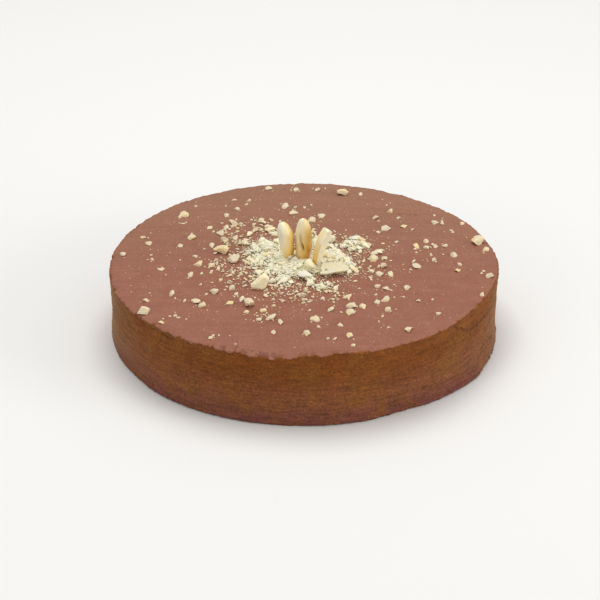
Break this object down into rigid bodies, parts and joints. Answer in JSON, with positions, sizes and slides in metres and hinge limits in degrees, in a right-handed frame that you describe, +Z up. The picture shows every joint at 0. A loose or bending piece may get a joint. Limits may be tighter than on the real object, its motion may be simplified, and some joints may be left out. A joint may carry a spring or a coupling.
{
  "type": "raw chocolate cake",
  "caption": "Low round uncut cake coated in chocolate cream, with a heap of chopped cashew and standing cashew nuts in the middle of its top and nut chips strewn around.",
  "frame": {"origin": "centre of the flat base, on the surface that the cake stands on", "axes": "+Z up, -Y towards the side that the picture shows, +X to the right as seen from that side"},
  "size_m": [0.245, 0.245, 0.0787],
  "materials": {
    "chocolate_cream": "matte chocolate cream spread with a palette knife",
    "cashew": "smooth tan-cream cashew with paler broken faces",
    "chopped_cashew": "matte off-white crumbs and chips of cashew"
  },
  "bodies": {
    "root": {"cake_body": "chocolate_cream", "cashew_left": "cashew", "cashew_middle": "cashew", "cashew_right": "cashew", "chunk_back": "chopped_cashew", "chunk_front_left": "chopped_cashew", "chunk_front_right": "chopped_cashew", "chunk_left": "chopped_cashew", "chunk_left_back": "chopped_cashew", "chunk_near": "chopped_cashew", "chunk_rim_left": "chopped_cashew", "chunk_rim_right": "chopped_cashew", "nut_heap": "chopped_cashew"}
  },
  "joints": []
}
